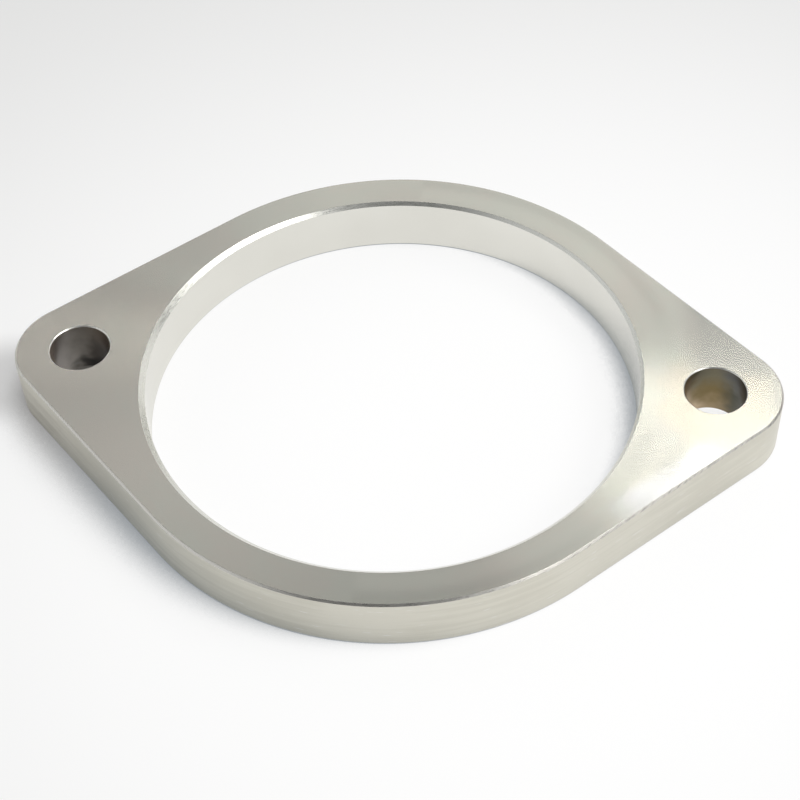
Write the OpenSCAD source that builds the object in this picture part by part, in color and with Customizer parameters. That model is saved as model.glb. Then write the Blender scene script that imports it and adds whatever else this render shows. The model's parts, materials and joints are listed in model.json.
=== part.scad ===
// Two-bolt flange: one flat plate round a large bore, with a bolt lug at each side.
// It lies on its back face at z = 0. The bore's axis is Z, and the two lugs lie along X.

/* [Bore] */
// Diameter of the bore
bore_d = 103; // [80:0.5:112]
// Width of the 45 degree chamfer on the front rim of the bore
rim_chamfer = 1; // [0.2:0.1:3]

/* [Plate] */
// Thickness of the plate
plate_t = 12.5; // [6:0.5:25]
// Width of metal between the bore and the outside of the round body
ring_w = 8.7; // [5:0.1:14]
// Width of the 45 degree break along the edges of the outline and on the back rim of the bore
edge_break = 0.4; // [0.1:0.1:1.5]

/* [Bolt lugs] */
// Distance between the centres of the two bolt holes
bolt_spacing = 133.4; // [128:0.2:160]
// Diameter of each bolt hole
bolt_hole_d = 12.7; // [6:0.1:15]
// Width of metal between a bolt hole and the rounded end of its lug
lug_wall = 7.45; // [4:0.05:12]
// Width of the 45 degree break on both rims of each bolt hole
hole_break = 0.3; // [0.1:0.1:1]

/* [Hidden] */
$fn = 180;

bore_r = bore_d / 2;
body_r = bore_r + ring_w;
bolt_x = bolt_spacing / 2;
hole_r = bolt_hole_d / 2;
lug_r = hole_r + lug_wall;

// Each straight flank touches the body's arc and a lug's arc. It touches both of them in the
// same direction from their centres, at this angle from the X axis.
flank_angle = acos((body_r - lug_r) / bolt_x);
flank_len = bolt_x * sin(flank_angle);
// The flanks lie this far inside the line that touches both arcs, so that they end on the arcs
flank_inset = 0.0005;
// How far a cutter runs past the face that it opens
overrun = 1;

// Outline of the plate: the round body, the two lugs and the straight flanks between them
module outline() {
    touch = [cos(flank_angle), sin(flank_angle)];
    body_corner = (body_r - flank_inset) * touch;
    lug_corner = [bolt_x, 0] + (lug_r - flank_inset) * touch;
    upper_half = [
        lug_corner,
        body_corner,
        [-body_corner.x, body_corner.y],
        [-lug_corner.x, lug_corner.y]
    ];
    polygon(concat(upper_half, [for (p = upper_half) -p]));
    circle(body_r);
    for (side = [-1, 1])
        translate([side * bolt_x, 0])
            circle(lug_r);
}

// Section of the wedge that breaks the front edge where the outline is at x = r
module break_section(r) {
    polygon([
        [r - edge_break - overrun, plate_t + overrun],
        [r + overrun, plate_t - edge_break - overrun],
        [r + overrun, plate_t + overrun]
    ]);
}

// Wedge round an arc of the outline, about the arc's own centre
module arc_break(r, start, sweep) {
    rotate([0, 0, start])
        rotate_extrude(angle = sweep)
            break_section(r);
}

// Wedge along the flank where x and y are positive. It runs past both ends, clear of the arcs.
module flank_break() {
    rotate([90, 0, flank_angle])
        translate([0, 0, -overrun])
            linear_extrude(flank_len + 2 * overrun)
                break_section(body_r - flank_inset);
}

// Wedges all round the front edge of the outline
module front_break() {
    for (turn = [0, 180])
        rotate([0, 0, turn]) {
            arc_break(body_r, flank_angle, 180 - 2 * flank_angle);
            translate([bolt_x, 0, 0])
                arc_break(lug_r, -flank_angle, 2 * flank_angle);
            flank_break();
            mirror([1, 0, 0])
                flank_break();
        }
}

// Plate with its front and back edges broken, before the holes are cut
module blank() {
    difference() {
        linear_extrude(plate_t)
            outline();
        front_break();
        translate([0, 0, plate_t])
            mirror([0, 0, 1])
                front_break();
    }
}

// Straight hole through the plate, widened at 45 degrees at its front and back rims
module hole_cutter(r, front, back) {
    rotate_extrude()
        polygon([
            [0, -overrun],
            [r + back + overrun, -overrun],
            [r, back],
            [r, plate_t - front],
            [r + front + overrun, plate_t + overrun],
            [0, plate_t + overrun]
        ]);
}

module flange_plate() {
    color([0.70, 0.69, 0.66])
        difference() {
            blank();
            hole_cutter(bore_r, rim_chamfer, edge_break);
            for (side = [-1, 1])
                translate([side * bolt_x, 0, 0])
                    hole_cutter(hole_r, hole_break, hole_break);
        }
}

flange_plate();
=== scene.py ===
import json
import math

import bpy
from bpy.props import FloatProperty, FloatVectorProperty, IntProperty, PointerProperty
from bpy.types import NodeSocket, Operator, Panel, PropertyGroup
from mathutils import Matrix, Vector


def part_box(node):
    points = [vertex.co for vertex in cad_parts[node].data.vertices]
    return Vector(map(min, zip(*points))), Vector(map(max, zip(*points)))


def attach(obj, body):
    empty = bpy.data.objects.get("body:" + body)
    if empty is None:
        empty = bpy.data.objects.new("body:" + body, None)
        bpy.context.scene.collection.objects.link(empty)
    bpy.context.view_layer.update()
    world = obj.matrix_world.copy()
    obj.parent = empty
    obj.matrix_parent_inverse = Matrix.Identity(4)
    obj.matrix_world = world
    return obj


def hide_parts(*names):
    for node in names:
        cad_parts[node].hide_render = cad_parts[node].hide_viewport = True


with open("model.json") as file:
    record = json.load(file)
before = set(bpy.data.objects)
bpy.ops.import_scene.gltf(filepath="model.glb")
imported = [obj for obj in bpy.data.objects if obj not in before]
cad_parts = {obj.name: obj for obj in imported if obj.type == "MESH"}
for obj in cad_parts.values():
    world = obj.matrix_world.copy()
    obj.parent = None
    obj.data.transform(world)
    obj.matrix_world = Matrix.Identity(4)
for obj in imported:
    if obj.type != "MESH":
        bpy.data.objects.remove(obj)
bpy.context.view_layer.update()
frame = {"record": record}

bl_info = {
    "name": "Two-bolt flange",
    "version": (1, 0, 0),
    "blender": (4, 5, 0),
    "location": "3D View > Sidebar > Flange",
    "description": "Builds a two-bolt flange in satin stainless steel, and the pale stage it lies on",
    "category": "Object",
}

PLATE_NODE = "flange_plate"
BODY = "root"
MM = 0.001

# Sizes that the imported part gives: the plate's box and its stated bores
PLATE_LOW, PLATE_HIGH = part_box(PLATE_NODE)
MOUNTS = {m["name"]: m["dims"] for m in frame["record"]["mounts"]}
BORE_RADIUS = MOUNTS["bore"]["r_mm"] * MM
BOLT_REACH = MOUNTS["bolts"]["pcd_mm"] * MM / 2
BOLT_HOLE_RADIUS = MOUNTS["bolts"]["hole_r_mm"] * MM

# Codes of the plate's surfaces, which pick their material
FACE, EDGE, BREAK, BORE, CHAMFER, HOLE, RIM = range(7)

# Points closer than this are merged, and an edge that bends by more than this looks sharp
MERGE_DISTANCE = 2e-7
SHARP_ANGLE = math.radians(8)

# How far a point may lie off a wall or a face and still count as on it
TOUCH = 1e-6

# Round marks on the right lug's face: x, y, the radius where each ends, and the one where it is full
RUBBED_MARK = (53.5 * MM, -17 * MM, 12 * MM, 3 * MM)
# The second mark is a painted highlight, where the lamps' highlight lies on the lower flank
HIGHLIGHT_MARK = (58 * MM, -25.5 * MM, 16 * MM, 7 * MM)

# Outward direction of that lug's lower flank
FLANK_NORMAL = (0.6957, -0.7184)

BLACK, WHITE = (0.0, 0.0, 0.0), (1.0, 1.0, 1.0)


# Node trees

def add(tree, kind, sockets=None, **settings):
    """Adds a node, sets it up, and fills its sockets with values or with other nodes' outputs."""
    made = tree.nodes.new(kind)
    for name, value in settings.items():
        setattr(made, name, value)
    for key, value in (sockets or {}).items():
        if isinstance(value, NodeSocket):
            tree.links.new(value, made.inputs[key])
        else:
            made.inputs[key].default_value = value
    return made


def tree_maths(tree, operation, *values, clamp=False):
    """One step of arithmetic on numbers or outputs."""
    made = add(tree, "ShaderNodeMath", dict(enumerate(values)), operation=operation)
    made.use_clamp = clamp
    return made.outputs[0]


def tree_vector(tree, operation, *values):
    """One step of vector arithmetic, giving its vector."""
    sockets = dict(enumerate(values))
    if operation == "SCALE":
        sockets["Scale"] = sockets.pop(1)
    return add(tree, "ShaderNodeVectorMath", sockets, operation=operation).outputs[0]


def tree_measure(tree, operation, *values):
    """One step of vector arithmetic, giving its number."""
    sockets = dict(enumerate(values))
    return add(tree, "ShaderNodeVectorMath", sockets, operation=operation).outputs["Value"]


def combine(tree, x=0.0, y=0.0, z=0.0):
    return add(tree, "ShaderNodeCombineXYZ", {0: x, 1: y, 2: z}).outputs[0]


def separate(tree, vector):
    return add(tree, "ShaderNodeSeparateXYZ", {0: vector}).outputs


# The plate's shape

# Inputs of the plate's node tree, each named as its setting is
PLATE_SIZES = (
    "Bore radius",
    "Body radius",
    "Lug radius",
    "Bolt reach",
    "Bolt hole radius",
    "Thickness",
    "Edge break",
    "Back rim break",
    "Rim chamfer",
    "Chamfer drift x",
    "Chamfer drift y",
    "Hole break",
    "Shoulder",
    "Land",
    "Edge waver",
    "Rim burr",
)


class ShapeTree:
    """The node tree that draws the plate: wall bands swept round its loops, and two flat faces."""

    def __init__(self, materials, segments, hole_segments):
        self.tree = bpy.data.node_groups.new("flange_plate_shape", "GeometryNodeTree")
        face = self.tree.interface
        face.new_socket("Geometry", in_out="INPUT", socket_type="NodeSocketGeometry")
        for name in PLATE_SIZES:
            face.new_socket(name, in_out="INPUT", socket_type="NodeSocketFloat")
        face.new_socket("Seed", in_out="INPUT", socket_type="NodeSocketInt")
        face.new_socket("Geometry", in_out="OUTPUT", socket_type="NodeSocketGeometry")
        self.size = self.add("NodeGroupInput").outputs
        self.materials = materials
        self.segments = segments
        self.hole_segments = hole_segments
        self.finish()

    def add(self, kind, sockets=None, **settings):
        return add(self.tree, kind, sockets, **settings)

    def maths(self, operation, *values, clamp=False):
        return tree_maths(self.tree, operation, *values, clamp=clamp)

    def vector(self, operation, *values):
        return tree_vector(self.tree, operation, *values)

    def switch(self, kind, when, otherwise, then):
        """Picks one of two values, which are both of the kind INT or FLOAT."""
        sockets = {0: when, 1: otherwise, 2: then}
        return self.add("GeometryNodeSwitch", sockets, input_type=kind).outputs[0]

    def compare(self, operation, a, b):
        return self.add("FunctionNodeCompare", {0: a, 1: b}, operation=operation).outputs[0]

    def both(self, a, b, operation="AND"):
        return self.add("FunctionNodeBooleanMath", {0: a, 1: b}, operation=operation).outputs[0]

    def capture(self, geometry, vector):
        """Stores a vector on the points of a curve, which a sweep hands on to its mesh."""
        made = self.add("GeometryNodeCaptureAttribute", {"Geometry": geometry}, domain="POINT")
        made.capture_items.new("VECTOR", "Kept")
        self.tree.links.new(vector, made.inputs["Kept"])
        return made.outputs["Geometry"], made.outputs["Kept"]

    def wall_section(self, back, front):
        """Section of a wall: x is how far into the metal it lies, and y is its height."""
        size = self.size
        land, thick = size["Land"], size["Thickness"]
        points = [
            (self.maths("ADD", back, land), 0.0),
            (back, 0.0),
            (0.0, back),
            (0.0, self.maths("SUBTRACT", thick, front)),
            (front, thick),
            (self.maths("ADD", front, land), thick),
        ]
        line = self.add("GeometryNodeCurvePrimitiveLine", {1: (1.0, 0.0, 0.0)}).outputs[0]
        line = self.add("GeometryNodeResampleCurve", {"Curve": line, "Count": len(points)}).outputs[0]
        pick = self.add("GeometryNodeIndexSwitch", data_type="VECTOR")
        while len(pick.index_switch_items) < len(points):
            pick.index_switch_items.new()
        self.tree.links.new(self.add("GeometryNodeInputIndex").outputs[0], pick.inputs["Index"])
        for index, (into, height) in enumerate(points):
            self.tree.links.new(combine(self.tree, into, height), pick.inputs[1 + index])
        bent = {"Geometry": line, "Position": pick.outputs[0]}
        line = self.add("GeometryNodeSetPosition", bent).outputs[0]
        corners = {"Curve": line, "Radius": size["Shoulder"], "Count": 2}
        rounded = self.add("GeometryNodeFilletCurve", corners, mode="POLY").outputs[0]
        return self.capture(rounded, self.add("GeometryNodeInputPosition").outputs[0])

    def unit_loop(self, count):
        """Circle of radius 1, with the outward direction kept on its points."""
        circle = {"Resolution": count, "Radius": 1.0}
        ring = self.add("GeometryNodeCurvePrimitiveCircle", circle, mode="RADIUS").outputs[0]
        return self.capture(ring, self.add("GeometryNodeInputPosition").outputs[0])

    def noise(self, place, scale, detail=2.0):
        """Noise between about -0.5 and 0.5, moved by the seed."""
        moved = self.vector("ADD", place, combine(self.tree, self.size["Seed"], 0.0, 0.0))
        made = self.add("ShaderNodeTexNoise", {"Vector": moved, "Scale": scale, "Detail": detail})
        return self.maths("SUBTRACT", made.outputs[0], 0.5)

    def band(self, loop, outward, base, into_sign, back, front, spread, codes):
        """Wall swept round a loop.

        base is where the wall stands, and into_sign says whether the metal lies outside the loop,
        1, or inside it, -1. back and front are the widths of its slopes, and spread widens the
        front one. codes are those of the wall, of its front slope and of its back slope.
        """
        section, place = self.wall_section(back, front)
        sweep = {"Curve": loop, "Profile Curve": section}
        swept = self.add("GeometryNodeCurveToMesh", sweep).outputs[0]
        across = separate(self.tree, place)
        into, height = across[0], across[1]
        middle = self.maths("MULTIPLY", self.size["Thickness"], 0.5)
        is_front = self.compare("GREATER_THAN", height, middle)
        share = self.maths("DIVIDE", into, front, clamp=True)
        wide = self.maths("MULTIPLY", spread, is_front)
        into = self.maths("ADD", into, self.maths("MULTIPLY", share, wide))
        drop = self.maths("MULTIPLY", self.maths("SUBTRACT", 1.0, share), wide)
        height_now = self.maths("SUBTRACT", height, drop)
        inward = self.vector("SCALE", outward, self.maths("MULTIPLY", into, into_sign))
        flat = self.vector("ADD", base, inward)
        position = self.vector("ADD", flat, combine(self.tree, 0.0, 0.0, height_now))
        bent = {"Geometry": swept, "Position": position}
        placed = self.add("GeometryNodeSetPosition", bent).outputs[0]
        wall, front_slope, back_slope = codes
        on_back = self.compare("LESS_THAN", self.maths("SUBTRACT", height, TOUCH), 0.0)
        raised = self.maths("ADD", height, TOUCH)
        on_front = self.compare("GREATER_THAN", raised, self.size["Thickness"])
        on_wall = self.compare("LESS_THAN", across[0], TOUCH)
        code = self.switch("INT", is_front, back_slope, front_slope)
        code = self.switch("INT", on_wall, code, wall)
        code = self.switch("INT", self.both(on_back, on_front, "OR"), code, FACE)
        return self.coded(placed, code)

    def coded(self, geometry, code):
        """Stores its surface code on each face."""
        return self.add(
            "GeometryNodeStoreNamedAttribute",
            {"Geometry": geometry, "Name": "surface", "Value": code},
            data_type="INT",
            domain="FACE",
        ).outputs[0]

    def outline_band(self):
        """Outer wall: the support line of three circles, so its flanks touch the body and the lugs."""
        size = self.size
        loop, outward = self.unit_loop(self.segments)
        x = separate(self.tree, outward)[0]
        taper = self.maths("SUBTRACT", size["Body radius"], size["Lug radius"])
        turn = self.maths("DIVIDE", taper, size["Bolt reach"])
        on_lug = self.compare("GREATER_THAN", self.maths("ABSOLUTE", x), turn)
        side = self.maths("MULTIPLY", self.maths("SIGN", x), size["Bolt reach"])
        centre = combine(self.tree, self.maths("MULTIPLY", side, on_lug))
        radius = self.switch("FLOAT", on_lug, size["Body radius"], size["Lug radius"])
        base = self.vector("ADD", centre, self.vector("SCALE", outward, radius))
        spread = self.maths("MULTIPLY", self.noise(base, 60.0), size["Edge waver"])
        edge = size["Edge break"]
        return self.band(loop, outward, base, -1.0, edge, edge, spread, (EDGE, BREAK, BREAK))

    def bore_band(self):
        """Bore wall, with the chamfer on its front rim a little off centre."""
        size = self.size
        loop, outward = self.unit_loop(self.segments)
        base = self.vector("SCALE", outward, size["Bore radius"])
        parts = separate(self.tree, outward)
        drift = self.maths(
            "ADD",
            self.maths("MULTIPLY", parts[0], size["Chamfer drift x"]),
            self.maths("MULTIPLY", parts[1], size["Chamfer drift y"]),
        )
        waver = self.maths("MULTIPLY", self.noise(base, 35.0), size["Edge waver"])
        spread = self.maths("ADD", drift, waver)
        back, front = size["Back rim break"], size["Rim chamfer"]
        return self.band(loop, outward, base, 1.0, back, front, spread, (BORE, CHAMFER, CHAMFER))

    def bolt_hole_bands(self):
        """Wall of a bolt hole, placed on both lugs, with small burrs left on its front rim."""
        size = self.size
        loop, outward = self.unit_loop(self.hole_segments)
        base = self.vector("SCALE", outward, size["Bolt hole radius"])
        burr = self.maths("MULTIPLY", self.noise(base, 700.0, 3.0), size["Rim burr"])
        rim = size["Hole break"]
        band = self.band(loop, outward, base, 1.0, rim, rim, burr, (HOLE, RIM, HOLE))
        ends = self.add(
            "GeometryNodeMeshLine",
            {
                "Count": 2,
                "Start Location": combine(self.tree, self.maths("MULTIPLY", size["Bolt reach"], -1.0)),
                "Offset": combine(self.tree, self.maths("MULTIPLY", size["Bolt reach"], 2.0)),
            },
            mode="OFFSET",
            count_mode="TOTAL",
        ).outputs[0]
        return self.add("GeometryNodeInstanceOnPoints", {"Points": ends, "Instance": band}).outputs[0]

    def flat_face(self, bands, front):
        """Fills the flat face between the open edges of the bands, at the front or at the back."""
        half = self.maths("MULTIPLY", self.size["Thickness"], 0.5)
        height = separate(self.tree, self.add("GeometryNodeInputPosition").outputs[0])[2]
        there = self.compare("GREATER_THAN" if front else "LESS_THAN", height, half)
        faces_beside = self.add("GeometryNodeInputMeshEdgeNeighbors").outputs[0]
        is_open = self.compare("LESS_THAN", faces_beside, 1.5)
        loops = self.add(
            "GeometryNodeMeshToCurve", {"Mesh": bands, "Selection": self.both(there, is_open)}
        ).outputs[0]
        filled = self.add("GeometryNodeFillCurve", {"Curve": loops}, mode="TRIANGLES").outputs[0]
        level = self.size["Thickness"] if front else 0.0
        raised = {"Geometry": filled, "Offset": combine(self.tree, 0.0, 0.0, level)}
        flat = self.add("GeometryNodeSetPosition", raised).outputs[0]
        if not front:
            flat = self.add("GeometryNodeFlipFaces", {0: flat}).outputs[0]
        return self.coded(flat, FACE)

    def finish(self):
        """Joins the bands and the flat faces, shades them, and gives each surface its material."""
        walls = self.add("GeometryNodeJoinGeometry")
        for band in (self.outline_band(), self.bore_band(), self.bolt_hole_bands()):
            self.tree.links.new(band, walls.inputs[0])
        bands = self.add("GeometryNodeRealizeInstances", {0: walls.outputs[0]}).outputs[0]
        whole = self.add("GeometryNodeJoinGeometry")
        for part in (bands, self.flat_face(bands, True), self.flat_face(bands, False)):
            self.tree.links.new(part, whole.inputs[0])
        merged = self.add(
            "GeometryNodeMergeByDistance", {"Geometry": whole.outputs[0], "Distance": MERGE_DISTANCE}
        ).outputs[0]
        smooth = self.add(
            "GeometryNodeSetShadeSmooth", {"Geometry": merged, "Shade Smooth": True}, domain="FACE"
        ).outputs[0]
        angle = self.add("GeometryNodeInputMeshEdgeAngle").outputs[0]
        sharp = self.compare("GREATER_THAN", angle, SHARP_ANGLE)
        smooth = self.add(
            "GeometryNodeSetShadeSmooth",
            {"Geometry": smooth, "Selection": sharp, "Shade Smooth": False},
            domain="EDGE",
        ).outputs[0]
        out = self.add("GeometryNodeRealizeInstances", {0: smooth}).outputs[0]
        surface = self.add(
            "GeometryNodeInputNamedAttribute", {"Name": "surface"}, data_type="INT"
        ).outputs[0]
        for code, material in self.materials.items():
            chosen = self.add(
                "FunctionNodeCompare", {2: surface, 3: code}, data_type="INT", operation="EQUAL"
            ).outputs[0]
            out = self.add(
                "GeometryNodeSetMaterial", {"Geometry": out, "Selection": chosen, "Material": material}
            ).outputs[0]
        self.add("NodeGroupOutput", {0: out})


def shape_from_tree(name, tree, values):
    """Runs a node tree with values by socket name, and makes its result a plain mesh object."""
    seed_mesh = bpy.data.meshes.new(name + "_seed")
    maker = bpy.data.objects.new(name + "_maker", seed_mesh)
    bpy.context.scene.collection.objects.link(maker)
    modifier = maker.modifiers.new("shape", "NODES")
    modifier.node_group = tree
    for item in tree.interface.items_tree:
        if item.in_out == "INPUT" and item.name in values:
            modifier[item.identifier] = values[item.name]
    evaluated = maker.evaluated_get(bpy.context.evaluated_depsgraph_get())
    mesh = bpy.data.meshes.new_from_object(evaluated)
    maker.modifiers.remove(modifier)
    bpy.data.objects.remove(maker)
    bpy.data.meshes.remove(seed_mesh)
    if not mesh.polygons:
        raise RuntimeError(f"{name}: the node tree made no faces")
    mesh.name = name
    piece = bpy.data.objects.new(name, mesh)
    bpy.context.scene.collection.objects.link(piece)
    return piece


# Finishes

class Finish:
    """A material's tree, with the part's own coordinates at hand."""

    def __init__(self, name):
        self.material = bpy.data.materials.new(name)
        self.material.use_nodes = True
        self.tree = self.material.node_tree
        self.tree.nodes.clear()
        self.place = self.add("ShaderNodeTexCoord").outputs["Object"]
        self.x, self.y, _ = separate(self.tree, self.place)

    def add(self, kind, sockets=None, **settings):
        return add(self.tree, kind, sockets, **settings)

    def maths(self, operation, *values, clamp=False):
        return tree_maths(self.tree, operation, *values, clamp=clamp)

    def noise(self, place, scale, detail):
        sockets = {"Vector": place, "Scale": scale, "Detail": detail}
        return self.add("ShaderNodeTexNoise", sockets).outputs[0]

    def stretched(self, x, y, z):
        """The part's coordinates, scaled along each axis."""
        return tree_vector(self.tree, "MULTIPLY", self.place, (x, y, z))

    def flat(self):
        """The part's coordinates, brought down to height 0."""
        return combine(self.tree, self.x, self.y)

    def outward(self):
        """Direction straight away from the bore's axis."""
        return tree_vector(self.tree, "NORMALIZE", self.flat())

    def upright(self):
        """Direction of the bore's axis."""
        return combine(self.tree, 0.0, 0.0, 1.0)

    def magnitude(self, vector):
        """How long a vector is."""
        return tree_measure(self.tree, "LENGTH", vector)

    def distance(self, point):
        """How far the surface lies from a point."""
        return tree_measure(self.tree, "DISTANCE", self.place, point)

    def polar(self, across, around):
        """Coordinates that run across the grooves of a turned face, and slowly around them."""
        hx, hy, _ = separate(self.tree, self.outward())
        return combine(
            self.tree,
            self.maths("MULTIPLY", self.magnitude(self.flat()), across),
            self.maths("MULTIPLY", hx, around),
            self.maths("MULTIPLY", hy, around),
        )

    def ramp(self, value, low, high, to_low=0.0, to_high=1.0):
        return self.add(
            "ShaderNodeMapRange",
            {"Value": value, "From Min": low, "From Max": high, "To Min": to_low, "To Max": to_high},
            interpolation_type="SMOOTHSTEP",
        ).outputs[0]

    def mark(self, x, y, end, full):
        """A round mark on the front face, which fades from 1 at its full radius to 0 at its end."""
        return self.ramp(self.distance((x, y, PLATE_HIGH.z)), end, full)

    def mix(self, factor, a, b):
        """Mixes two colours."""
        sockets = {0: factor}
        for index, value in ((6, a), (7, b)):
            sockets[index] = value if isinstance(value, NodeSocket) else (*value, 1.0)
        return self.add("ShaderNodeMix", sockets, data_type="RGBA").outputs[2]

    def metal(self, colour, roughness, height, depth, anisotropy, tangent):
        """Closes the tree with a metal whose grain also shapes its surface."""
        bump = self.add("ShaderNodeBump", {"Height": height, "Strength": 1.0, "Distance": depth})
        shader = self.add(
            "ShaderNodeBsdfPrincipled",
            {
                "Metallic": 1.0,
                "Base Color": colour,
                "Roughness": roughness,
                "Anisotropic": anisotropy,
                "Normal": bump.outputs[0],
                "Tangent": tangent,
            },
        )
        self.add("ShaderNodeOutputMaterial", {0: shader.outputs[0]})
        return self.material


def marked_face(work, clean, patches, look):
    """Colour of the flat faces: heat tint and rubbed streaks on the right lug, and painted highlight
    and shade.
    """
    from_hole = work.distance((BOLT_REACH, 0.0, PLATE_HIGH.z))
    waver = work.maths("SUBTRACT", patches, 0.5)
    from_hole = work.maths("MULTIPLY_ADD", waver, 20 * MM, from_hole)
    colour = work.mix(work.ramp(from_hole, 18 * MM, 8 * MM), clean, look.face_straw)

    # Painted highlight along the lower flank, as brighter and whiter steel
    nx, ny = FLANK_NORMAL
    toward_flank = work.maths("MULTIPLY_ADD", work.x, nx, work.maths("MULTIPLY", work.y, ny))
    painted_highlight = work.mark(*HIGHLIGHT_MARK)
    painted_highlight = work.maths("MULTIPLY", painted_highlight, work.ramp(toward_flank, 53.5 * MM, 56.5 * MM))
    colour = work.mix(painted_highlight, colour, look.face_painted_highlight)

    # Painted shade on the upper half and at the end, and dulled in streaks beside the bore
    upper = work.ramp(work.x, 56.5 * MM, 65 * MM)
    upper = work.maths("MULTIPLY", upper, work.ramp(work.y, 0.0, 8 * MM))
    end = work.ramp(work.x, 74.5 * MM, 81 * MM)
    end = work.maths("MULTIPLY", end, work.ramp(work.y, -10 * MM, -2 * MM))
    streaks = work.noise(work.stretched(220.0, 1300.0, 0.0), 1.0, 1.0)
    rubbed = work.ramp(streaks, 0.3, 0.7, 0.5, 1.0)
    rubbed = work.maths("MULTIPLY", work.mark(*RUBBED_MARK), rubbed)
    # This dull colour carries both the painted shade and the rubbed streaks
    dull = work.maths("MAXIMUM", work.maths("MAXIMUM", upper, end), rubbed)
    return work.mix(dull, colour, look.face_dull_and_shade)


def sanded_lean(work, look):
    """Height that sanding took off the right lug, where the face leans down from its middle line."""
    radius = work.magnitude(work.flat())
    neck = work.ramp(radius, 52 * MM, 57 * MM)
    neck = work.maths("SUBTRACT", neck, work.ramp(radius, 57 * MM, 61 * MM))
    lug = work.ramp(radius, 58.5 * MM, 67 * MM)
    lug = work.maths("MULTIPLY", lug, look.lug_tilt)
    slope = work.maths("MULTIPLY_ADD", neck, look.neck_tilt, lug)
    slope = work.maths("MULTIPLY", slope, work.maths("GREATER_THAN", work.x, 0.0))
    reach = work.maths("TANH", work.maths("DIVIDE", work.y, look.tilt_reach))
    return work.maths("MULTIPLY", work.maths("MULTIPLY", slope, reach), -look.tilt_reach)


def ground_face_finish(look):
    """Flat faces: fine concentric grooves with soft patches, so a lamp draws a fan across them."""
    work = Finish("ground_face")
    fine = work.noise(work.polar(7000.0, 60.0), 1.0, 1.0)
    coarse = work.noise(work.polar(2600.0, 16.0), 1.0, 1.0)
    patches = work.noise(work.place, 60.0, 3.0)
    tone = work.maths("MULTIPLY_ADD", coarse, 0.3, work.maths("MULTIPLY", patches, 0.7))
    tone = work.maths("ADD", tone, work.ramp(work.x, -75 * MM, -30 * MM, -0.2, 0.05))
    clean = work.mix(work.ramp(tone, 0.3, 0.7), look.steel_dark, look.steel_light)
    grain = work.maths("MULTIPLY_ADD", fine, 0.2, coarse)
    swing = 0.002
    smoother, rougher = look.face_roughness - swing, look.face_roughness + swing
    roughness = work.ramp(grain, 0.4, 0.8, smoother, rougher)
    height = work.noise(work.place, 80.0, 1.0)
    height = work.maths("MULTIPLY_ADD", height, look.wave_depth, sanded_lean(work, look))
    height = work.maths("MULTIPLY_ADD", grain, look.face_grain_depth, height)
    colour = marked_face(work, clean, patches, look)
    return work.metal(colour, roughness, height, 1.0, look.face_anisotropy, work.outward())


def edge_finish(look):
    """Outer side: long scratches that follow the outline, a few of them bright."""
    work = Finish("linished_edge")
    fine = work.noise(work.stretched(60.0, 60.0, 5200.0), 1.0, 2.0)
    coarse = work.noise(work.stretched(45.0, 45.0, 1100.0), 1.0, 2.0)
    scratch = work.ramp(work.noise(work.stretched(260.0, 260.0, 3000.0), 1.0, 1.0), 0.70, 0.78)
    patches = work.noise(work.place, 55.0, 3.0)
    tone = work.maths("MULTIPLY_ADD", coarse, 0.5, work.maths("MULTIPLY", patches, 0.5))
    colour = work.mix(work.ramp(tone, 0.4, 0.6), look.side_dark, look.side_light)
    colour = work.mix(scratch, colour, look.steel_bright)
    grain = work.maths("MULTIPLY_ADD", fine, 0.5, coarse)
    roughness = work.ramp(grain, 0.45, 1.05, look.edge_roughness - 0.05, look.edge_roughness + 0.05)
    height = work.maths("MULTIPLY_ADD", scratch, -0.6, grain)
    depth, pull = look.edge_grain_depth, look.edge_anisotropy
    return work.metal(colour, roughness, height, depth, pull, work.upright())


def bore_finish(look):
    """Bore wall: turning marks round the bore, smoother and brighter than the faces."""
    work = Finish("turned_bore")
    fine = work.noise(work.stretched(12.0, 12.0, 4200.0), 1.0, 2.0)
    coarse = work.noise(work.stretched(20.0, 20.0, 700.0), 1.0, 2.0)
    patches = work.noise(work.place, 40.0, 2.0)
    colour = work.mix(work.ramp(patches, 0.3, 0.7), look.bore_dark, look.bore_light)
    grain = work.maths("MULTIPLY_ADD", fine, 0.5, coarse)
    roughness = work.ramp(grain, 0.45, 1.05, look.bore_roughness - 0.01, look.bore_roughness + 0.01)
    depth, pull = look.bore_grain_depth, look.bore_anisotropy
    return work.metal(colour, roughness, grain, depth, pull, work.upright())


def cut_finish(name, look, dull, bright):
    """Chamfers and broken edges, cut by a tool that left fine marks and a few nicks."""
    work = Finish(name)
    marks = work.noise(work.polar(6000.0, 30.0), 1.0, 2.0)
    nicks = work.ramp(work.noise(work.place, 700.0, 1.0), 0.66, 0.78)
    colour = work.mix(marks, dull, bright)
    colour = work.mix(work.maths("MULTIPLY", nicks, 0.3), colour, look.break_dull)
    roughness = work.ramp(marks, 0.3, 0.7, look.cut_roughness - 0.04, look.cut_roughness + 0.06)
    height = work.maths("MULTIPLY_ADD", nicks, -0.3, marks)
    pull = 0.3
    return work.metal(colour, roughness, height, look.cut_grain_depth, pull, work.outward())


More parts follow.
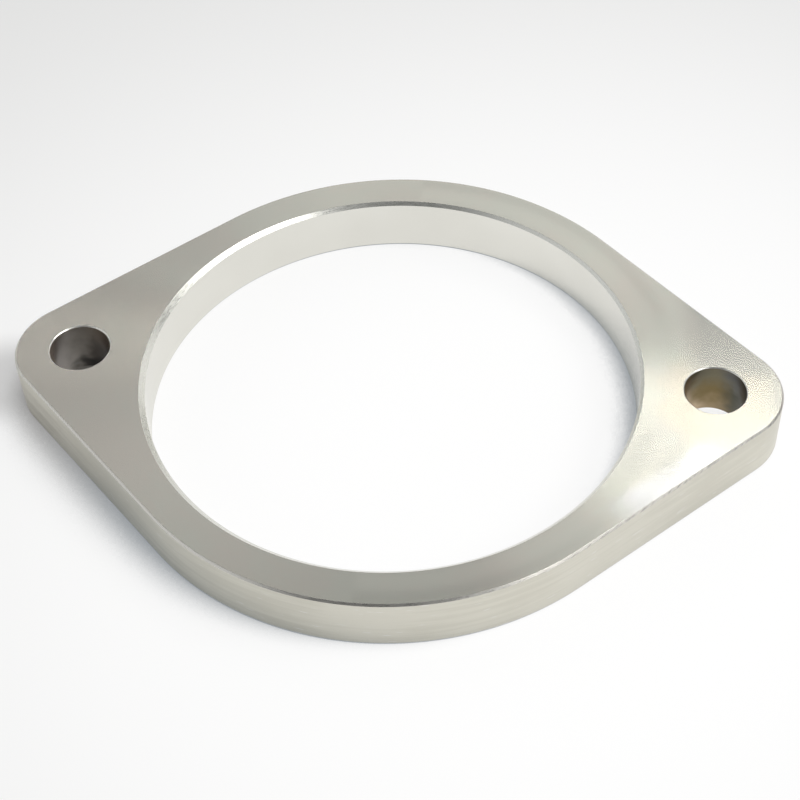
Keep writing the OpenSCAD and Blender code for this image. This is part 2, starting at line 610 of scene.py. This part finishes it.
def heat_tint(work, across, height, look):
    """Colour of the tinted bolt hole: straw and rose, then olive, grey and blue where it ran hotter."""
    r, thick = BOLT_HOLE_RADIUS, PLATE_HIGH.z
    right = work.ramp(across, 0.0, 0.8 * r)
    left = work.ramp(across, 0.0, -0.8 * r)
    flank = work.ramp(across, -0.5 * r, -r)
    top = work.ramp(height, 0.5 * thick, 0.9 * thick)
    low = work.ramp(height, 0.5 * thick, 0.05 * thick)
    tinted = work.mix(right, look.tint_straw, look.tint_olive)
    tinted = work.mix(work.maths("MULTIPLY", top, 0.7), tinted, look.tint_grey)
    tinted = work.mix(work.maths("MULTIPLY", top, right), tinted, look.tint_blue)
    tinted = work.mix(work.maths("MULTIPLY", flank, 0.6), tinted, look.tint_rose)
    rosy = work.maths("ADD", left, work.maths("MULTIPLY_ADD", right, -0.3, 0.35), clamp=True)
    return work.mix(work.maths("MULTIPLY", low, rosy), tinted, look.tint_rose)


def brown_film(work, across, height, look):
    """Colour of the other bolt hole: a brown film, dark in its middle with painted shade lower down,
    pale at one side, and a painted shadow deep down.
    """
    r, thick = BOLT_HOLE_RADIUS, PLATE_HIGH.z
    dark = work.ramp(across, -0.6 * r, 0.15 * r)
    # Painted shade: the dark side grows darker lower down the hole
    dark = work.maths("MULTIPLY", dark, work.ramp(height, thick, 0.4 * thick, 0.45, 1.0))
    pale = work.ramp(across, -0.4 * r, -0.95 * r)
    # Painted shadow at the bottom of the darker side
    deep = work.ramp(across, -0.75 * r, -0.3 * r)
    deep = work.maths("MULTIPLY", deep, work.ramp(height, 0.32 * thick, 0.06 * thick))
    filmed = work.mix(dark, look.film_grey, look.film_dark_and_shade)
    filmed = work.mix(pale, filmed, look.film_mauve)
    return work.mix(work.maths("MULTIPLY", deep, 0.85), filmed, look.film_painted_shadow)


def hole_finish(look):
    """Bolt holes: a dull brown film with painted shade and shadow in one, and heat tint in the other,
    both with cloudy edges.
    """
    work = Finish("tinted_hole")
    middle = work.maths("MULTIPLY", work.maths("SIGN", work.x), BOLT_REACH)
    local = tree_vector(work.tree, "SUBTRACT", work.place, combine(work.tree, middle))
    clouds = {"Vector": work.place, "Scale": 260.0, "Detail": 2.0}
    cloud = work.add("ShaderNodeTexNoise", clouds).outputs["Color"]
    cloud = tree_vector(work.tree, "SUBTRACT", cloud, (0.5, 0.5, 0.5))
    local = tree_vector(work.tree, "MULTIPLY_ADD", cloud, (4 * MM, 4 * MM, 6 * MM), local)
    across, _, height = separate(work.tree, local)
    filmed = brown_film(work, across, height, look)
    tinted = heat_tint(work, across, height, look)
    colour = work.mix(work.maths("GREATER_THAN", work.x, 0.0), filmed, tinted)
    marks = work.noise(work.stretched(100.0, 100.0, 5000.0), 1.0, 2.0)
    roughness = work.ramp(marks, 0.3, 0.7, look.hole_roughness - 0.04, look.hole_roughness + 0.04)
    depth, pull = look.bore_grain_depth, 0.4
    return work.metal(colour, roughness, marks, depth, pull, work.upright())


# Stage

def facing(heading, height):
    """Direction at a heading, measured from +Y towards +X, and a height above the floor, in degrees."""
    a, e = math.radians(heading), math.radians(height)
    return Vector((math.sin(a) * math.cos(e), math.cos(a) * math.cos(e), math.sin(e)))


def lamp(name, heading, height, wide, tall, brightness, colour, distance):
    """Softbox that faces the part. Its place and its spread are angles, as seen from the part."""
    data = bpy.data.lights.new(name, "AREA")
    data.shape = "RECTANGLE"
    data.size = 2 * distance * math.tan(math.radians(wide / 2))
    data.size_y = 2 * distance * math.tan(math.radians(tall / 2))
    data.energy = brightness * data.size * data.size_y * math.pi
    data.color = colour
    box = bpy.data.objects.new(name, data)
    bpy.context.scene.collection.objects.link(box)
    toward = facing(heading, height)
    box.location = toward * distance
    box.rotation_mode = "QUATERNION"
    box.rotation_quaternion = toward.to_track_quat("Z", "Y")
    box.visible_camera = False


def make_world(setup):
    """Pale room, bright near the floor, dimmer overhead, and dim behind the camera.

    The metal mirrors it, and the camera sees the floor's grey in its place.
    """
    world = bpy.data.worlds.new("studio_room")
    bpy.context.scene.world = world
    world.use_nodes = True
    tree = world.node_tree
    tree.nodes.clear()
    toward = add(tree, "ShaderNodeTexCoord").outputs["Generated"]
    x, y, height = separate(tree, toward)
    ramp = add(tree, "ShaderNodeValToRGB", {0: height})
    stops = (
        (0.0, setup.room_floor_level),
        (0.5, setup.room_low),
        (0.75, setup.room_high),
        (1.0, setup.room_top),
    )
    for position, _ in stops[1:-1]:
        ramp.color_ramp.elements.new(position)
    for element, (position, level) in zip(ramp.color_ramp.elements, stops):
        element.position = position
        element.color = (level, level, level, 1.0)
    lean = tree_maths(tree, "MULTIPLY_ADD", x, setup.room_lean_x, 1.0)
    lean = tree_maths(tree, "MULTIPLY_ADD", y, setup.room_lean_y, lean)
    dim_toward = facing(setup.dim_heading, setup.dim_height)
    near = tree_measure(tree, "DOT_PRODUCT", toward, dim_toward)
    dim = add(
        tree,
        "ShaderNodeMapRange",
        {
            "Value": near,
            "From Min": setup.dim_outside,
            "From Max": setup.dim_inside,
            "To Min": 1.0,
            "To Max": setup.dim_level,
        },
        interpolation_type="SMOOTHSTEP",
    ).outputs[0]
    strength = tree_maths(tree, "MULTIPLY", ramp.outputs[0], dim)
    strength = tree_maths(tree, "MULTIPLY", strength, lean)
    room = {"Color": (*setup.room_colour, 1.0), "Strength": strength}
    # The camera sees the grey of the floor's painted light falloff in the room's place
    grey = {"Color": (*setup.pool_falloff_grey, 1.0), "Strength": setup.floor_white}
    lit = add(tree, "ShaderNodeBackground", room).outputs[0]
    seen = add(tree, "ShaderNodeBackground", grey).outputs[0]
    is_seen = add(tree, "ShaderNodeLightPath").outputs["Is Camera Ray"]
    both = add(tree, "ShaderNodeMixShader", {0: is_seen, 1: lit, 2: seen})
    add(tree, "ShaderNodeOutputWorld", {0: both.outputs[0]})


def floor_finish(setup):
    """Smooth pale board, mostly plain white where it is seen, with a cool shade beside the plate."""
    work = Finish("pale_board")
    matt = work.add("ShaderNodeBsdfDiffuse", {"Color": (*setup.floor_colour, 1.0)})
    path = work.add("ShaderNodeLightPath").outputs
    by_camera = path["Is Camera Ray"]
    seen = work.maths("MAXIMUM", by_camera, path["Is Glossy Ray"])
    seen = work.maths("MAXIMUM", seen, path["Is Transmission Ray"])

    # Where the point lies: outside the bore, under a bolt hole, or under the left one
    radius = work.magnitude(work.flat())
    outside = work.maths("GREATER_THAN", radius, BORE_RADIUS)
    folded = combine(work.tree, work.maths("ABSOLUTE", work.x), work.y)
    from_hole = tree_vector(work.tree, "SUBTRACT", folded, (BOLT_REACH, 0.0, 0.0))
    from_hole = work.magnitude(from_hole)
    in_hole = work.maths("LESS_THAN", from_hole, BOLT_HOLE_RADIUS + setup.hole_margin)
    in_far_hole = work.maths("MULTIPLY", in_hole, work.maths("LESS_THAN", work.x, 0.0))

    # Share of light left by the plate's walls, and beside the end of the left lug
    toward = work.mix(
        outside,
        facing(setup.shade_heading_inside, setup.shade_height),
        facing(setup.shade_heading_outside, setup.shade_height),
    )
    shelter = {"Distance": setup.shade_reach, "Normal": toward}
    open_side = work.add("ShaderNodeAmbientOcclusion", shelter, samples=16).outputs["AO"]
    mirrored = work.ramp(open_side, *setup.shade_mirrored)
    lit = work.mix(by_camera, mirrored, work.ramp(open_side, *setup.shade_outside))
    from_end = work.distance((setup.end_shade_x, setup.end_shade_y, 0.0))
    lug_end = work.ramp(from_end, setup.end_shade_reach, setup.end_shade_core)
    lit = work.mix(work.maths("MULTIPLY", lug_end, setup.end_shade), lit, BLACK)
    lit = work.mix(outside, work.ramp(open_side, *setup.shade_bore), lit)
    lit = work.mix(in_hole, lit, WHITE)

    # Colour where it is seen: a painted pool of light that fades to grey, and the painted shade
    from_pool = tree_vector(work.tree, "SUBTRACT", work.flat(), (setup.pool_x, setup.pool_y, 0.0))
    away = work.ramp(work.magnitude(from_pool), setup.pool_start, setup.pool_end)
    colour = work.mix(away, WHITE, setup.pool_falloff_grey)
    from_left = work.ramp(work.x, -80 * MM, -45 * MM)
    shade = work.mix(from_left, setup.end_shade_colour, setup.shade_colour)
    colour = work.mix(lit, shade, colour)
    # Under the left bolt hole the camera sees the floor painted near-black, as painted deep shade
    far_hole_shade = work.mix(by_camera, setup.shade_colour, setup.far_hole_shade)
    colour = work.mix(in_far_hole, colour, far_hole_shade)
    white = work.add("ShaderNodeEmission", {"Color": colour, "Strength": setup.floor_white})
    far = (setup.floor_far_start, setup.floor_far_end)
    share = work.ramp(radius, *far, setup.floor_white_share, 1.0)
    share = work.maths("MULTIPLY", seen, share)
    both = work.add("ShaderNodeMixShader", {0: share, 1: matt.outputs[0], 2: white.outputs[0]})
    work.add("ShaderNodeOutputMaterial", {0: both.outputs[0]})
    return work.material


def make_floor(setup):
    """Round floor, a hair under the plate's back face."""
    mesh = bpy.data.meshes.new("floor")
    steps_round, radius = 96, setup.floor_radius
    level = PLATE_LOW.z - setup.floor_gap
    turns = [math.tau * step / steps_round for step in range(steps_round)]
    ring = [(radius * math.cos(turn), radius * math.sin(turn), level) for turn in turns]
    mesh.from_pydata(ring, [], [tuple(range(steps_round))])
    floor = bpy.data.objects.new("floor", mesh)
    bpy.context.scene.collection.objects.link(floor)
    mesh.materials.append(floor_finish(setup))


def make_camera(setup):
    data = bpy.data.cameras.new("camera")
    data.lens = setup.camera_lens
    data.sensor_width = 36.0
    data.clip_start, data.clip_end = 0.01, 50.0
    camera = bpy.data.objects.new("camera", data)
    bpy.context.scene.collection.objects.link(camera)
    camera.location = setup.camera_place
    camera.rotation_euler = [math.radians(angle) for angle in setup.camera_turn]
    bpy.context.scene.camera = camera


# Settings

def length(name, description, default):
    return FloatProperty(
        name=name, description=description, default=default, unit="LENGTH", precision=5
    )


def colour(name, description, default):
    return FloatVectorProperty(
        name=name, description=description, default=default, subtype="COLOR", min=0.0, max=1.0
    )


def number(name, description, default):
    return FloatProperty(name=name, description=description, default=default, precision=4)


def count(name, description, default, least):
    return IntProperty(name=name, description=description, default=default, min=least)


def triple(name, description, default):
    return FloatVectorProperty(name=name, description=description, default=default, subtype="XYZ")


def steps(name, description, default):
    return FloatVectorProperty(name=name, description=description, default=default, size=2)


class FlangeSizes(PropertyGroup):
    """Sizes of the plate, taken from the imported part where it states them"""

    bore_radius: length("Bore radius", "Radius of the bore's wall", BORE_RADIUS)
    body_radius: length("Body radius", "Radius of the round body", PLATE_HIGH.y)
    lug_radius: length("Lug radius", "Radius of the rounded end of each lug", PLATE_HIGH.x - BOLT_REACH)
    bolt_reach: length("Bolt reach", "From the bore's axis to a bolt hole's axis", BOLT_REACH)
    bolt_hole_radius: length("Bolt hole radius", "Radius of each bolt hole", BOLT_HOLE_RADIUS)
    thickness: length("Thickness", "Thickness of the plate", PLATE_HIGH.z - PLATE_LOW.z)
    edge_break: length("Edge break", "Width of the break along the outline", 0.4 * MM)
    back_rim_break: length("Back rim break", "Width of the break on the bore's back rim", 0.2 * MM)
    rim_chamfer: length("Rim chamfer", "Mean width of the chamfer on the bore's front rim", 0.9 * MM)
    chamfer_drift_x: length("Chamfer drift x", "Chamfer's centre off the bore's, in x", -0.2 * MM)
    chamfer_drift_y: length("Chamfer drift y", "Chamfer's centre off the bore's, in y", -0.2 * MM)
    hole_break: length("Hole break", "Width of the break on the bolt holes' rims", 0.2 * MM)
    shoulder: length("Shoulder", "Radius where a break meets the faces beside it", 0.08 * MM)
    land: length("Land", "Strip of the flat faces that belongs to each wall band", 0.3 * MM)
    edge_waver: length("Edge waver", "How much the width of the breaks wanders", 0.06 * MM)
    rim_burr: length("Rim burr", "How much the bolt holes' rims are nicked", 0.25 * MM)
    segments: count("Segments", "Steps round the outline and the bore", 720, least=48)
    hole_segments: count("Hole segments", "Steps round each bolt hole", 160, least=24)
    seed: count("Seed", "Seed of the wandering edges", 4, least=0)


class FlangeLook(PropertyGroup):
    """Colours and textures of the steel"""

    steel_light: colour("Steel", "Colour of the clean steel", (0.665, 0.668, 0.598))
    steel_dark: colour("Dull steel", "Colour of the steel's duller patches", (0.685, 0.65, 0.585))
    side_light: colour("Side steel", "Colour of the outer side", (0.70, 0.68, 0.60))
    side_dark: colour("Dull side steel", "Duller streaks of the outer side", (0.64, 0.62, 0.54))
    face_straw: colour("Straw face", "Faint heat tint round the tinted hole", (0.68, 0.64, 0.545))
    face_dull_and_shade: colour("Dull and shaded face", "Face in painted shade, and where it is rubbed dull", (0.545, 0.54, 0.495))
    face_painted_highlight: colour("Painted highlight face", "Face where a highlight is painted", (0.755, 0.76, 0.75))
    steel_bright: colour("Cut steel", "Colour of scratches and cut edges", (0.80, 0.79, 0.76))
    break_light: colour("Worn edge", "Colour of the outline's broken edge", (0.63, 0.61, 0.565))
    break_dull: colour("Dull worn edge", "Duller marks of worn edges, and nicks", (0.49, 0.475, 0.44))
    bore_light: colour("Turned steel", "Colour of the bore's wall", (0.78, 0.77, 0.715))
    bore_dark: colour("Dull turned steel", "Duller patches of the bore's wall", (0.74, 0.73, 0.675))
    tint_straw: colour("Straw tint", "Tint in the middle of the tinted hole", (0.205, 0.155, 0.072))
    tint_grey: colour("Grey tint", "Tint towards that hole's front rim", (0.24, 0.235, 0.18))
    tint_olive: colour("Olive tint", "Tint on that hole's darker side", (0.08, 0.08, 0.062))
    tint_blue: colour("Blue tint", "Tint where that hole ran hottest", (0.13, 0.14, 0.15))
    tint_rose: colour("Rose tint", "Tint towards that hole's back rim", (0.54, 0.42, 0.29))
    film_grey: colour("Grey film", "Film in the duller hole", (0.515, 0.445, 0.375))
    film_dark_and_shade: colour("Dark film and shade", "Film and painted shade on the duller hole's darker side", (0.137, 0.112, 0.092))
    film_mauve: colour("Mauve film", "Film on the duller hole's paler side", (0.76, 0.665, 0.585))
    film_painted_shadow: colour("Painted deep shadow", "Painted shadow at the back end of the duller hole", (0.035, 0.031, 0.027))
    hole_roughness: number("Hole roughness", "Roughness of the bolt holes' walls", 0.34)
    face_roughness: number("Face roughness", "Roughness of the flat faces", 0.266)
    face_anisotropy: number("Face grain pull", "How far the grooves pull a highlight", 0.998)
    face_grain_depth: length("Face grain depth", "Depth of the faces' grain", 0.00006 * MM)
    wave_depth: length("Wave depth", "Height of the faces' soft waves", 0.006 * MM)
    neck_tilt: number("Neck tilt", "Lean of the face where the right lug begins", 0.005)
    lug_tilt: number("Lug tilt", "Lean of the right lug's face", 0.011)
    tilt_reach: length("Tilt reach", "How far from the lug's middle line the lean goes", 12 * MM)
    edge_roughness: number("Side roughness", "Roughness of the outer side", 0.36)
    edge_anisotropy: number("Side grain pull", "How far the side's scratches pull a highlight", 0.6)
    edge_grain_depth: length("Side grain depth", "Depth of the side's grain", 0.002 * MM)
    bore_roughness: number("Bore roughness", "Roughness of the bore's wall", 0.26)
    bore_anisotropy: number("Bore grain pull", "How far the turning marks pull a highlight", 0.6)
    bore_grain_depth: length("Bore grain depth", "Depth of the turning marks", 0.0003 * MM)
    cut_roughness: number("Cut roughness", "Roughness of chamfers and breaks", 0.28)
    cut_grain_depth: length("Cut grain depth", "Depth of the marks on cut edges", 0.0008 * MM)


class FlangeStage(PropertyGroup):
    """Floor, room, lamps and camera"""

    floor_colour: colour("Floor", "Colour of the floor", (0.93, 0.93, 0.925))
    floor_radius: length("Floor radius", "Radius of the floor", 9.0)
    floor_gap: length("Floor gap", "Gap under the plate", 0.05 * MM)
    floor_white: number("Floor white", "Brightness of the floor's white where it is seen", 1.04)
    floor_white_share: number("White share", "Share of plain white in the floor where it is seen", 0.85)
    floor_far_start: length("Far floor start", "Where the floor begins to blend into the room", 0.3)
    floor_far_end: length("Far floor end", "Where the floor looks the same as the room", 1.0)
    pool_falloff_grey: colour("Floor grey", "Floor beyond its pool of light", (0.72, 0.72, 0.715))
    pool_x: length("Pool x", "Middle of the floor's pool of light, in x", 0.04)
    pool_y: length("Pool y", "Middle of the floor's pool of light, in y", -0.02)
    pool_start: length("Pool start", "How far from its middle the pool begins to fade", 0.04)
    pool_end: length("Pool end", "How far from its middle the pool has faded", 0.26)
    shade_heading_inside: number(
        "Shade heading inside", "Heading of the light kept out of the bore", 142.0
    )
    shade_heading_outside: number(
        "Shade heading outside", "Heading of the light kept off outside", 88.0
    )
    shade_height: number("Shade height", "Height of that light, in degrees", 50.0)
    shade_reach: length("Shade reach", "How far the plate's walls shade the floor", 0.03)
    shade_bore: steps("Shade in the bore", "Open side at full shade and at none", (0.33, 0.438))
    shade_outside: steps("Shade outside", "Open side at full shade and at none", (0.36, 0.66))
    shade_mirrored: steps("Shade mirrored", "The same where the plate mirrors the floor", (0.40, 0.88))
    end_shade: number("End shade", "Share of light kept off beside the left lug's end", 0.48)
    end_shade_colour: colour("End shade colour", "Shade towards the left lug", (0.30, 0.297, 0.294))
    end_shade_x: length("End shade x", "Middle of that shade, in x", -86.0 * MM)
    end_shade_y: length("End shade y", "Middle of that shade, in y", 0.5 * MM)
    end_shade_core: length("End shade core", "Radius within which that shade is full", 5.0 * MM)
    end_shade_reach: length("End shade reach", "Radius of that shade", 16.0 * MM)
    hole_margin: length("Hole margin", "How far a hole's floor reaches under the plate", 0.7 * MM)
    far_hole_shade: colour("Far hole shade", "Painted shade on the floor in the left bolt hole", (0.075, 0.07, 0.062))
    shade_colour: colour("Shade", "Colour of the floor in full shade", (0.27, 0.295, 0.318))
    room_colour: colour("Room", "Colour of the room", (0.97, 0.985, 1.0))
    room_floor_level: number("Room at the floor", "Brightness of the room at floor level", 0.93)
    room_low: number("Room low", "Brightness of the room at 30 degrees", 0.60)
    room_high: number("Room high", "Brightness of the room at 49 degrees", 0.36)
    room_top: number("Room top", "Brightness of the room overhead", 0.19)
    room_lean_x: number("Lean x", "How much brighter the room grows towards +X", -0.24)
    room_lean_y: number("Lean y", "How much brighter the room grows towards +Y", -0.50)
    dim_heading: number("Dim heading", "Heading of the room's dim side, from +Y towards +X", 185.0)
    dim_height: number("Dim height", "Height of the room's dim side, in degrees", 25.0)
    dim_level: number("Dim level", "Share of light left on the dim side", 0.25)
    dim_inside: number("Dim inside", "Cosine of the angle where the dim side is dimmest", 0.99)
    dim_outside: number("Dim outside", "Cosine of the angle where the dim side ends", 0.75)
    lamp_distance: length("Lamp distance", "How far the lamps stand from the part", 4.0)
    camera_lens: number("Lens", "Focal length in millimetres on a 36 mm sensor", 79.32)
    camera_place: triple("Camera place", "Where the camera stands", (0.04042, -0.24777, 0.27994))
    camera_turn: triple("Camera turn", "Rotation in degrees", (42.125, 1.806, 6.943))


# Heading, height, spread across, spread up, brightness and colour of each lamp
LAMPS = {
    "back_panel": (1.0, 28.0, 31.0, 37.0, 1.11, (1.0, 0.99, 0.97)),
    "slim_lamp": (14.5, 48.5, 2.35, 9.0, 18.5, (1.0, 0.985, 0.935)),
    "second_lamp": (31.5, 52.0, 10.9, 14.8, 1.9, (1.0, 0.98, 0.94)),
    "side_window": (95.0, 47.0, 50.0, 20.0, 5.4, (1.0, 0.99, 0.97)),
    "low_panel": (43.0, 12.5, 28.0, 24.0, 0.66, (1.0, 0.99, 0.97)),
}


class FLANGE_OT_plate(Operator):
    """Make the plate with its bore, bolt holes and worn edges"""

    bl_idname = "flange.plate"
    bl_label = "Make the flange plate"

    def execute(self, context):
        sizes, look = context.scene.flange_sizes, context.scene.flange_look
        materials = {
            FACE: ground_face_finish(look),
            EDGE: edge_finish(look),
            BREAK: cut_finish("broken_edge", look, look.break_dull, look.break_light),
            BORE: bore_finish(look),
            CHAMFER: cut_finish("cut_chamfer", look, look.steel_light, look.steel_bright),
            HOLE: hole_finish(look),
            RIM: cut_finish("hole_rim", look, look.steel_light, look.steel_bright),
        }
        shape = ShapeTree(materials, sizes.segments, sizes.hole_segments)
        values = {name: getattr(sizes, name.lower().replace(" ", "_")) for name in PLATE_SIZES}
        values["Seed"] = sizes.seed
        plate = shape_from_tree("flange_plate_finished", shape.tree, values)
        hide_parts(PLATE_NODE)
        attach(plate, BODY)
        return {"FINISHED"}


class FLANGE_OT_stage(Operator):
    """Make the floor, the room, the lamps and the camera"""

    bl_idname = "flange.stage"
    bl_label = "Make the stage"

    def execute(self, context):
        setup = context.scene.flange_stage
        make_floor(setup)
        make_world(setup)
        for name, values in LAMPS.items():
            lamp(name, *values, setup.lamp_distance)
        make_camera(setup)
        context.scene.view_settings.view_transform = "Standard"
        return {"FINISHED"}


class FLANGE_PT_panel(Panel):
    """Buttons for the flange and its stage"""

    bl_label = "Two-bolt flange"
    bl_idname = "FLANGE_PT_panel"
    bl_space_type = "VIEW_3D"
    bl_region_type = "UI"
    bl_category = "Flange"

    def draw(self, context):
        for operator in (FLANGE_OT_plate, FLANGE_OT_stage):
            self.layout.operator(operator.bl_idname)


GROUPS = {"flange_sizes": FlangeSizes, "flange_look": FlangeLook, "flange_stage": FlangeStage}
CLASSES = (*GROUPS.values(), FLANGE_OT_plate, FLANGE_OT_stage, FLANGE_PT_panel)


def register():
    for cls in CLASSES:
        bpy.utils.register_class(cls)
    for name, group in GROUPS.items():
        setattr(bpy.types.Scene, name, PointerProperty(type=group))


def unregister():
    for name in GROUPS:
        delattr(bpy.types.Scene, name)
    for cls in reversed(CLASSES):
        bpy.utils.unregister_class(cls)


def main():
    register()
    bpy.ops.flange.plate()
    bpy.ops.flange.stage()


if __name__ == "__main__":
    main()
